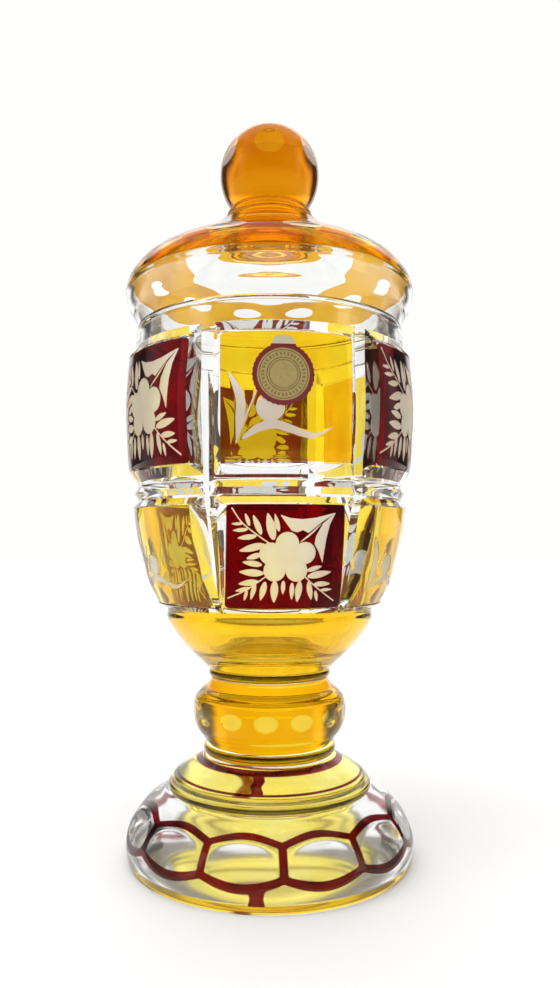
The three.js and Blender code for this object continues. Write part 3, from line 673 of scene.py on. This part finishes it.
wall_radius, azimuth = bowl_wall()
columns = azimuth.shape[1]
even = azimuth[-1]
below = chain([(0.0, bowl_low - LAP), (23.9, bowl_low - LAP), (24.5, bowl_low)], cup)[:-1]
above = chain(rim, brim, inside)[1:]
radius = np.vstack([np.repeat(below[:, :1], columns, 1), wall_radius, np.repeat(above[:, :1], columns, 1)])
height = np.vstack([np.repeat(h[:, None], columns, 1) for h in (below[:, 1], LEVELS, above[:, 1])])
azimuth = np.vstack([np.broadcast_to(azimuth[0], (len(below), columns)), azimuth,
                     np.broadcast_to(even, (len(above), columns))])
on_cup = np.arange(len(radius))[:, None] < len(below) + 2
stain = (on_cup & (height > bowl_low - LAP / 2)) * 1.0
bowl = turned_piece("bowl_glass", radius, height, azimuth, {"stain": stain})
finish_piece(bowl, bowl_glass, "clear_glass", "vase", "bowl")

# %% [markdown]
# ## Engraving
# The fields are engraved with a copper wheel: sprays of narrow leaves, a five-petalled flower and a folded
# leaf on the ruby, a bud on a stem with two long leaves on the amber. Each cut is described by a distance
# in mm: negative inside the cut, zero on its outline. A leaf is a row of discs along a curve, small at
# both ends. The distance goes to the shader as a mark, so outlines stay crisp between the
# points of the grid, and it also sinks the surface, so the cut is real.

# %% Engraved motifs
def stroke(u, v, line, size):
    """Distance to a stroke: to the nearest point of each stretch of the line, less the half width there."""
    a, d = line[:-1], np.diff(line, axis=0)
    x, y = u[..., None] - a[:, 0], v[..., None] - a[:, 1]
    t = np.clip((x * d[:, 0] + y * d[:, 1]) / (d**2).sum(1), 0, 1)
    return (np.hypot(x - t * d[:, 0], y - t * d[:, 1]) - size[:-1] * (1 - t) - size[1:] * t).min(-1)


def leaf(u, v, path, width, blunt=0.42):
    """Distance to a leaf of half width width * sin(pi * t^k)^0.8, widest at t = blunt of its length."""
    line = smooth_line(path, 12 if len(path) == 2 else 6)
    t = np.linspace(0, 1, len(line))
    return stroke(u, v, line, width * np.sin(np.pi * t ** (np.log(0.5) / np.log(blunt))) ** 0.8)


def stem(u, v, path, width):
    """Distance to a line of even width along the curve."""
    line = smooth_line(path, 5)
    return stroke(u, v, line, np.full(len(line), width))


def outline_gap(u, v, corners):
    """Distance to a closed outline: to its nearest edge, and negative inside, where a ray to the right
    crosses the outline an odd number of times."""
    p = np.asarray(corners, float)
    q = np.roll(p, -1, 0)
    d = q - p
    x, y = u[..., None] - p[:, 0], v[..., None] - p[:, 1]
    t = np.clip((x * d[:, 0] + y * d[:, 1]) / (d**2).sum(1), 0, 1)
    near = np.hypot(x - t * d[:, 0], y - t * d[:, 1]).min(-1)
    spans = (p[:, 1] > v[..., None]) != (q[:, 1] > v[..., None])
    rise = np.where(np.abs(d[:, 1]) < 1e-9, 1e-9, d[:, 1])
    crossing = spans & (u[..., None] < p[:, 0] + d[:, 0] * (v[..., None] - p[:, 1]) / rise)
    return np.where(crossing.sum(-1) % 2 == 1, -near, near)


# Each leaf: u and v of its base, u and v of its tip, and its half width. u and v are in mm from the
# middle of the field's bottom edge.
SPRAYS = [
    (-15.4, 30.2, -19.4, 30.2, 0.55), (-13.6, 28.2, -18.8, 27.9, 0.7), (-10.6, 25.9, -17.2, 25.2, 0.95),
    (-7.6, 23.0, -16.6, 20.7, 1.3), (-8.8, 19.6, -14.0, 18.0, 1.0), (-13.0, 29.4, -14.6, 34.0, 0.7),
    (-8.9, 26.4, -11.9, 33.4, 1.05), (-4.6, 24.6, -6.9, 34.0, 1.55), (-2.8, 27.4, -4.4, 33.8, 0.8),
    (-8.4, 15.8, -15.4, 16.9, 1.05), (-7.8, 12.8, -16.4, 13.4, 1.3), (-9.6, 10.0, -16.6, 9.0, 1.1),
    (-12.3, 7.7, -17.6, 6.4, 0.75), (-13.4, 7.0, -14.3, 2.8, 0.6), (-10.6, 9.2, -12.0, 3.2, 0.85),
    (-7.2, 9.9, -8.6, 3.0, 1.15), (-3.9, 10.2, -3.8, 2.2, 1.4), (-0.8, 10.3, -0.8, 5.2, 0.8),
    (2.3, 9.6, 2.5, 3.2, 0.85), (5.1, 10.1, 4.5, 2.3, 1.25), (8.2, 9.8, 9.8, 3.0, 1.05),
    (11.0, 6.6, 12.0, 2.4, 0.65), (7.5, 13.7, 13.2, 15.4, 0.85), (7.7, 11.6, 16.8, 13.3, 1.25),
    (10.3, 8.9, 16.6, 9.0, 0.95), (12.9, 6.7, 17.4, 6.9, 0.6),
]
STEMS = [
    [(-4.6, 22.4), (-9.6, 25.8), (-15.4, 30.4), (-19.1, 35.7)],
    [(-6.4, 12.2), (-10.2, 9.4), (-14.6, 6.4), (-20.0, 3.8)],
    [(6.4, 12.0), (9.8, 9.0), (13.6, 6.0), (18.4, 2.6)],
]
# Each petal: middle and radius. Then the two halves of the folded leaf, as outlines.
PETALS = [(0.2, 23.3, 4.1), (6.6, 20.0, 3.9), (-5.6, 19.8, 3.9), (-4.0, 13.9, 3.9), (3.8, 13.8, 3.9)]
FOLD_LEFT = [(-2.6, 33.4), (1.0, 32.2), (5.4, 31.8), (10.0, 32.3), (17.6, 34.2), (12.4, 30.8), (9.6, 28.6),
             (7.6, 27.0), (5.6, 28.0), (3.6, 27.2), (1.6, 27.8), (-0.4, 30.4)]
FOLD_RIGHT = [(17.6, 34.2), (15.4, 30.0), (14.3, 25.4), (13.7, 21.0), (13.2, 16.4), (11.6, 20.4), (9.9, 23.2),
              (10.4, 26.0), (12.9, 30.4)]


def blossom(u, v):
    """The ruby fields' motif: distance to the nearest cut, and how deep a petal is hollowed, 0 to 1."""
    gaps = [leaf(u, v, [row[:2], row[2:4]], row[4]) for row in SPRAYS]
    gaps += [stem(u, v, path, 0.24) for path in STEMS]
    gaps += [outline_gap(u, v, FOLD_LEFT), outline_gap(u, v, FOLD_RIGHT)]
    gaps += [leaf(u, v, [(4.4, 23.6), (8.6, 26.8), (13.0, 30.9)], 0.32)]
    discs = [np.hypot(u - x, v - y) - r for x, y, r in PETALS]
    flower = np.minimum(np.min(discs, 0), np.hypot(u - 0.2, v - 18.3) - 4.2)
    hollow = np.max([np.clip(-d / r, 0, 1) for d, (_, _, r) in zip(discs, PETALS)], 0)
    return np.minimum(np.min(gaps, 0), flower), np.sqrt(hollow)


def bud(u, v):
    """The amber fields' motif: a bud on a stem, an upright blade and a long wavy leaf."""
    long_leaf = [(-14.6, 6.2), (-9.6, 9.2), (-4.6, 10.3), (0.9, 9.0), (6.2, 7.4), (10.2, 7.9), (15.0, 10.4)]
    gaps = [
        leaf(u, v, [(-16.2, 5.4), (-15.2, 11.5), (-15.0, 18.0), (-18.7, 25.8)], 1.5, 0.55),
        stem(u, v, [(-16.2, 5.4), (-13.2, 12.6), (-9.0, 22.1)], 0.26),
        leaf(u, v, long_leaf, 1.25, 0.33),
        np.hypot(u + 5.7, (v - 15.1) * 1.15) - 4.5,
        np.hypot(u + 7.4, v - 10.9) - 0.5, np.hypot(u + 4.2, v - 10.9) - 0.5,
    ]
    hollow = np.clip(-gaps[3] / 4.5, 0, 1)
    return np.min(gaps, 0), np.sqrt(hollow)


# %% [markdown]
# ## The coloured skins
# A skin is a thin curved plate that laps five hundredths of a millimetre into the field behind it.
# Its front is a grid in two parameters: across, from edge to edge of the field, and up, from its foot
# to its head. The plate's corners are rounded by drawing the rows in near the foot and head. The ground
# glass of a cut scatters light, so the shader turns from polished glass to a pale, matt one there.

# %% Skins
ENGRAVING_DEPTH = 0.22
SKIN_CORNER = 1.6             # radius of a plate's corners
DRAWN_HALF, DRAWN_HEIGHT = 21.0, 37.0     # the field that the motifs are drawn on
FINE, COARSE = 0.3, 0.4       # distance between the points of a plate


def engraved_glass(name, stain, shaded_frost, lit_frost, milky, shine):
    """Stained glass that is polished where mark cut is positive. Inside the cuts the stain is gone and the
    front is matt: by the share milky it is a ground skin, and for the rest it is clear glass with a rough
    face.
    The ground skin's colour is painted shade and light: the first ground colour near a cut's outline, the
    second in the middle of a cut and of a hollow petal."""
    material, g = new_material(name)
    cut = g.attribute("cut").smooth(0.07, -0.07)
    matt = cut * g.attribute("front")
    cloud = g.noise(70.0, 3).smooth(0.3, 0.7)
    tint = g.mix(cut, g.mix(cloud, *stain), CLEAR)
    polished = g.principled(Base_Color=tint, Roughness=matt * 0.5 + 0.012,
                            Transmission_Weight=1.0, IOR=GLASS_IOR, Specular_Tint=shine)
    grain = g.noise(2600.0)
    tooth = g.node("ShaderNodeBump", {}, {"Strength": 0.25, "Distance": 0.0001, "Height": grain})
    # Painted shade and light: the ground glass is darker near a cut's outline and lighter in the middle of a
    # cut and of a hollow petal, with a little grain.
    middle = g.attribute("cut").smooth(0.0, -0.9) * 0.45 + g.attribute("hollow") * 0.45 + grain * 0.1
    shaded_ground_colour = g.mix(middle, shaded_frost, lit_frost)
    ground = g.principled(Base_Color=shaded_ground_colour, Roughness=0.6, Normal=tooth, IOR=GLASS_IOR)
    both = g.node("ShaderNodeMixShader", {}, {0: matt * milky, 1: polished, 2: ground})
    g.node("ShaderNodeOutputMaterial", {}, {0: both})
    return material


def field_skin(name, row, index, motif, fineness):
    """Closed plate over one field. u goes from -1 to 1 between its sides, across is u * half width, less
    near the rounded corners, and the azimuth is the column's middle plus arcsin(across / radius)."""
    face, half, low, high = ((LOWER_FACE, LOWER_HALF, lower_low, lower_high) if row == "lower"
                             else (UPPER_FACE, UPPER_HALF, upper_low, upper_high))
    rows, columns = int((high - low) / fineness), int(2 * half / fineness)
    u = np.linspace(-1, 1, columns)[None, :]
    height = np.linspace(low, high, rows)[:, None]
    near_end = np.clip(SKIN_CORNER - np.minimum(height - low, high - height), 0, SKIN_CORNER)
    drawn_in = SKIN_CORNER - np.sqrt(SKIN_CORNER**2 - near_end**2)
    across = u * (half - drawn_in)
    radius = np.broadcast_to(face_radius(height, face), across.shape)
    azimuth = np.radians(FRONT_TURN + index * 60) + np.arcsin(across / radius)
    drawn_u = across * (DRAWN_HALF / half)
    drawn_v = (height - low + 0 * across) * (DRAWN_HEIGHT / (high - low))
    gap, hollow = motif(drawn_u, drawn_v)
    sink = ENGRAVING_DEPTH * np.clip(0.5 - gap / 0.4, 0, 1) * (0.5 + 0.5 * hollow)
    heights = np.broadcast_to(height, across.shape)
    front = round_the_axis(radius - sink, heights, azimuth)
    back = round_the_axis(radius - SKIN, heights, azimuth)
    points = np.vstack([front.reshape(-1, 3), back.reshape(-1, 3)])
    quads = grid_faces(rows, columns)
    count = rows * columns
    rim = border(rows, columns)
    wall = np.stack([rim, rim + count, np.roll(rim, -1) + count, np.roll(rim, -1)], -1)
    faces = np.vstack([quads, quads[:, ::-1] + count, wall])
    marks = {"cut": np.tile(gap.ravel(), 2), "hollow": np.tile(hollow.ravel(), 2),
             "front": np.repeat([1.0, 0.0], count)}
    return make_piece(name, points, faces, marks, crease=40)


def border(rows, columns):
    """Numbers of the points round the edge of a grid, in order."""
    grid = np.arange(rows * columns).reshape(rows, columns)
    return np.concatenate([grid[0, :-1], grid[:-1, -1], grid[-1, :0:-1], grid[:0:-1, 0]])


# The two ground colours of each skin: the darker one at a cut's outline is painted shade, the lighter one in
# its middle is painted light.
ruby_skin = engraved_glass("ruby_engraved_skin", RUBY, SHADED_FROST, (1.0, 0.93, 0.68, 1), 0.42,
                           (0.55, 0.03, 0.05, 1))
amber_skin = engraved_glass("amber_engraved_skin", YELLOW, (0.80, 0.60, 0.42, 1), (0.90, 0.73, 0.54, 1),
                            0.36, (1.0, 0.7, 0.15, 1))
pale_skin = engraved_glass("pale_amber_engraved_skin", PALE, SHADED_FROST, (0.98, 0.90, 0.72, 1), 0.3,
                           (1.0, 0.75, 0.25, 1))
for index in range(COLUMNS):
    for row in ("lower", "upper"):
        is_ruby = (index % 2 == 0) == (row == "lower")
        amber_kind = amber_skin if (row, index) == ("upper", 0) else pale_skin
        motif, material = (blossom, ruby_skin) if is_ruby else (bud, amber_kind)
        fineness = FINE if index in (0, 1, 5) else COARSE
        slot = "ruby_glass" if is_ruby else "amber_glass"
        skin = field_skin(f"{row}_skin_{index + 1}", row, index, motif, fineness)
        finish_piece(skin, material, slot, "vase", f"{row}_panel_{index + 1}")

# %% [markdown]
# ## The seal
# A round embossed paper with plain rings is glued to the front field, with a short tab above it. It could
# be cut out flat and bent. A polar grid laid straight on the curve of the glass needs no bending: the
# distance from its middle grows from 0 to 1, and the outline is the larger of a circle and the tab.

# %% Paper seal
SEAL_TURN, SEAL_LEVEL = 4.7, 185.3
SEAL_RADIUS, TAB_HALF, TAB_TOP = 10.7, 5.2, 13.6
PAPER, GLUE = 0.3, 0.04       # how far its face and its back stand off the field
RINGS = [(9.2, 0.25), (8.3, 0.15), (5.6, 0.15), (2.6, 0.15)]      # radius and width of each raised ring


def seal_plate():
    """The seal as a thin closed plate. Its outline is the circle with 36 small teeth or the tab, a
    superellipse of power 3, whichever is further out. A ring adds 0.07 * exp(-((far - middle) / width)^2)."""
    around, steps = 192, 40
    angle = np.linspace(0, 2 * np.pi, around, endpoint=False)[None, :]
    share = np.linspace(0, 1, steps)[:, None]
    pinked = SEAL_RADIUS * (1 + 0.012 * np.cos(36 * angle))
    aside, upwards = np.abs(np.sin(angle)) / TAB_HALF, np.maximum(np.cos(angle), 0) / TAB_TOP
    tab = (aside**3 + upwards**3) ** (-1 / 3)
    reach = np.maximum(pinked, np.where(np.cos(angle) > 0, tab, 0))
    distance = share * reach
    u, v = distance * np.sin(angle), distance * np.cos(angle)
    emboss = 0.07 * sum(np.exp(-(((distance - middle) / width) ** 2)) for middle, width in RINGS)
    height = SEAL_LEVEL + v
    face = face_radius(height, UPPER_FACE)
    azimuth = np.radians(SEAL_TURN) + u / face
    front = round_the_axis(face + PAPER + emboss, height, azimuth)
    back = round_the_axis(face + GLUE, height, azimuth)
    beat = np.sign(np.sin(34 * angle)) * np.ones_like(distance)
    marks = {"far": distance, "up": v, "beat": beat}
    # The rows go from the middle of the front over the rim to the middle of the back.
    marks = {key: np.vstack([values, values[::-1]]) for key, values in marks.items()}
    return closed_piece("seal", np.vstack([front, back[::-1]]), marks, crease=60)


def seal_paper():
    """Gold paper with a red border and a plain tab, by mark far, the distance from the middle, and mark
    up, the height over it. Mark beat, 1 and -1 by turns, breaks one ring into strokes."""
    material, p = new_material("gold_and_red_paper")
    far, up = p.attribute("far"), p.attribute("up")
    red = far.smooth(8.9, 9.15)
    tab = up.smooth(10.4, 10.6)
    fleck = p.noise(900.0, 4)
    gold = p.mix(fleck, (0.36, 0.26, 0.08, 1), (0.58, 0.45, 0.19, 1))
    strokes = far.near(7.1, 0.75) * p.attribute("beat").smooth(-0.2, 0.2) * 0.7
    lines = far.near(8.4, 0.2) + far.near(5.7, 0.2) + far.near(4.9, 0.3) * 0.6 + strokes
    inked = p.mix(lines * 0.8, gold, (0.12, 0.06, 0.015, 1))
    printed = p.mix(red, inked, (0.16, 0.006, 0.008, 1))
    colour = p.mix(tab, printed, p.mix(fleck, (0.42, 0.40, 0.24, 1), (0.58, 0.54, 0.36, 1)))
    metal = (1 - red) * (1 - tab) * 0.55
    bump = p.node("ShaderNodeBump", {}, {"Strength": 0.2, "Distance": 0.0001, "Height": fleck})
    body = p.principled(Base_Color=colour, Metallic=metal, Roughness=fleck * 0.2 + 0.35, Normal=bump)
    p.node("ShaderNodeOutputMaterial", {}, {0: body})
    return material


finish_piece(seal_plate(), seal_paper(), "seal_paper", "vase", "paper_seal")

# %% [markdown]
# ## The lid
# The lid is a hollow dome, wider than the mouth, with a plain ring under it that drops into the bowl.
# Its wall is clear. The amber stain starts just over the widest line and goes inwards as far as a long
# oval that was polished clear again, unevenly, so that the belt is widest in front. A ring of twelve
# shallow olive cuts goes through it. A solid stub of glass under the top carries the collar and the ball.

# %% Lid
dome_low, dome_high = levels("lid_dome")
flange_low, flange_high = levels("lid_flange")
DOME_OUTSIDE = [(53.7, dome_low), (55.2, 218.9), (56.9, 221.5), (58.0, 224.4), (58.5, 227.2), (58.65, 229.0),
                (57.8, 232.3), (55.7, 235.9), (52.3, 239.6), (47.4, 242.8), (40.7, 245.8), (33.2, 249.9),
                (25.8, 254.6), (20.4, dome_high)]
DOME_INSIDE = [(16.6, 248.1), (17.6, 249.6), (18.0, 251.4), (19.2, 253.2), (21.6, 253.6), (24.3, 252.2),
               (31.8, 247.5), (39.3, 243.2), (46.0, 240.2), (50.4, 237.4), (53.4, 234.1), (55.2, 231.2),
               (55.8, 229.1), (55.6, 227.3), (55.2, 225.1), (54.3, 222.8), (52.9, 220.4),
               (51.1, dome_low + 0.5)]


def ring_piece(name, outline, columns):
    """A closed outline carried round the axis: a ring."""
    radius, height, azimuth = spin(np.asarray(outline, float), columns)
    points = round_the_axis(radius, height, azimuth).reshape(-1, 3)
    quads = grid_faces(len(outline), columns, wrap_columns=True, wrap_rows=True)
    return make_piece(name, points, quads, {"stain": np.zeros(len(points))})


lip = flange_high + 0.35
flange = ring_piece("flange_ring", [(45.3, flange_low + 0.8), (45.6, flange_low + 0.2), (46.3, flange_low),
                                    (47.9, flange_low), (48.6, flange_low + 0.2), (48.9, flange_low + 0.8),
                                    (48.9, 209.0), (48.9, lip), (45.3, lip), (45.3, 209.0)], 288)
finish_piece(flange, clear, "clear_glass", "flange", "lid_flange")

stub_bottom = [(0.0, 247.7), (8.0, 247.7), (15.4, 247.7), (16.6, 248.1)]
dome_seat = lifted([(51.1, 0.5), (48.2, 0.4), (45.3, 0.4), (45.3, 0.0), (48.0, 0.0), (51.0, 0.0),
                    (53.7, 0.0)], dome_low)
dome_inner = chain(stub_bottom, smooth_line(DOME_INSIDE, 4), dome_seat)
dome_head = lifted([(20.4, 0.0), (19.6, LAP), (10.0, LAP), (0.0, LAP)], dome_high)
dome_outline = chain(dome_inner, smooth_line(DOME_OUTSIDE, 7), dome_head)
radius, height, azimuth = spin(dome_outline, 540)
row = np.arange(len(dome_outline))[:, None]
is_outside = row >= len(dome_inner)
STUB_ROWS = 16                # rows of the outline that lie on the stub, with its flat bottom first
OLIVE_MIDDLE, OLIVE_TILT, OLIVE_DEPTH = (51.9, 239.7), np.radians(52), 0.3
OLIVE_HALF = (7.4, 2.9)
OLIVES, OLIVE_TURN = 12, 12.8


def olive_share(radius, height, azimuth):
    """How far out each point is in its olive cut: 0 in the middle, 1 on the outline. Along the belt it is
    azimuth * radius / half length. Across it is the distance along the dome / half width."""
    pitch = 2 * np.pi / OLIVES
    along = ((azimuth - np.radians(OLIVE_TURN) + pitch / 2) % pitch - pitch / 2) * radius
    across = (height - OLIVE_MIDDLE[1]) * np.cos(OLIVE_TILT) - (radius - OLIVE_MIDDLE[0]) * np.sin(OLIVE_TILT)
    return np.hypot(along / OLIVE_HALF[0], across / OLIVE_HALF[1])


share = np.where(is_outside, olive_share(radius, height, azimuth), 9)
sink = OLIVE_DEPTH * np.clip(1 - share**2, 0, 1)
# The polished oval ends at a radius of 47.3 mm at the back, 36.5 mm at the sides and 32.3 mm in front.
polished = 41.9 + 5.4 * np.cos(2 * azimuth) - 15 * np.maximum(np.cos(azimuth), 0) ** 2
belt = np.maximum(np.maximum(polished - radius, 230.3 - height), (1 - share) * OLIVE_HALF[1])
crown = np.maximum(radius - 28, 252.5 - height)
edge = np.where(is_outside, np.minimum(belt, crown), np.where(row < STUB_ROWS, -1.0, 9.0))
edge[height > dome_high + LAP / 2] = 9
stain = np.where(row < len(stub_bottom), 0.6, 1.0) * np.ones_like(radius)
radius, height = radius - sink * np.cos(OLIVE_TILT), height - sink * np.sin(OLIVE_TILT)
dome = turned_piece("dome_glass", radius, height, azimuth, {"stain": stain, "edge": edge})
finish_piece(dome, lid_glass, "clear_glass", "lid", "lid_dome")

# %% [markdown]
# ## Collar and ball
# Two soft rings carry a solid ball of deep amber. Six round flats are ground into its upper half. A solid
# glass ball is a strong lens, so the room shows in it upside down, with a dark rim.

# %% Collar and ball
collar_low, collar_high = levels("lid_collar")
rings = lifted([(18.9, 0.0), (19.2, 0.9), (18.7, 1.7), (17.1, 2.6), (16.9, 3.1), (17.4, 3.9), (17.2, 4.8),
                (16.2, 5.7)], collar_low)
collar_side = smooth_line(np.vstack([rings, (15.9, collar_high)]), 5)
radius, height, azimuth = spin(capped(collar_side, collar_low, collar_high, 18.4, 15.6), 240)
stain = showing(height, collar_low, collar_high)
collar = turned_piece("collar_rings", radius, height, azimuth, {"stain": stain})
finish_piece(collar, amber, "amber_glass", "lid", "lid_collar")

finial_low, finial_high = levels("finial_ball")
BALL = 20.4
ball_middle = finial_high - BALL
seat = np.arccos((ball_middle - finial_low) / BALL)
arc = np.linspace(seat, np.pi, 110)
ball_foot = [(0.0, finial_low - LAP), (15.7, finial_low - LAP), (BALL * np.sin(seat), finial_low)]
ball_outline = chain(ball_foot, np.stack([BALL * np.sin(arc), ball_middle - BALL * np.cos(arc)], 1))
ball_outline[-1, 0] = 0
radius, height, azimuth = spin(ball_outline, 360)
BALL_FLATS, FLAT_TILT, FLAT_DEPTH = 6, 18, 0.88
flat_point = (BALL * np.cos(np.radians(FLAT_TILT)), ball_middle + BALL * np.sin(np.radians(FLAT_TILT)))
radius, ground = cut_flats(radius, height, azimuth, flat_point, FLAT_DEPTH, FLAT_TILT,
                           np.arange(BALL_FLATS) * 360 / BALL_FLATS)
# The front flats keep less stain, and so does a soft band 10 mm under the middle of the ball.
pale_flat = np.clip(ground / 0.05, 0, 1) * (np.cos(azimuth) > -0.2)
pale_band = np.exp(-(((height - ball_middle + 10) / 4.5) ** 2))
stain = showing(height, finial_low, finial_high) * (1 - 0.3 * pale_flat) * (1 - 0.25 * pale_band)
ball = turned_piece("finial_glass", radius, height, azimuth, {"stain": stain})
finish_piece(ball, amber, "amber_glass", "lid", "finial_ball")
